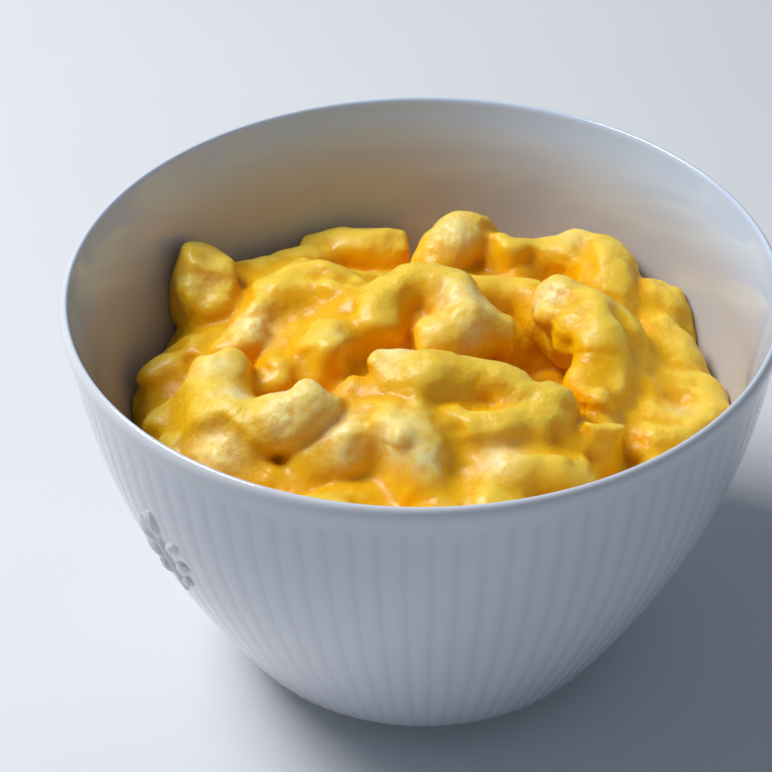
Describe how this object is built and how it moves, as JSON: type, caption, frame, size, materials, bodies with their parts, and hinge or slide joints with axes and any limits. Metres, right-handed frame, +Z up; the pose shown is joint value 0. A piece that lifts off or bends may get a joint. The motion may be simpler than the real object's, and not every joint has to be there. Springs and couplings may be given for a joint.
{
  "type": "bowl of macaroni and cheese",
  "caption": "Small fluted porcelain bowl filled with elbow macaroni in a thick cheese sauce.",
  "frame": {"origin": "centre of the foot ring's resting face", "axes": "+Z up along the bowl's axis; -Y is the side the heap was seen from"},
  "size_m": [0.118, 0.118, 0.0727],
  "materials": {
    "porcelain": "white porcelain, clear glossy glaze",
    "cheese_sauce": "wet golden cheese sauce over cooked pasta"
  },
  "bodies": {
    "root": {"bowl": "porcelain", "mac_and_cheese": "cheese_sauce"}
  },
  "joints": []
}
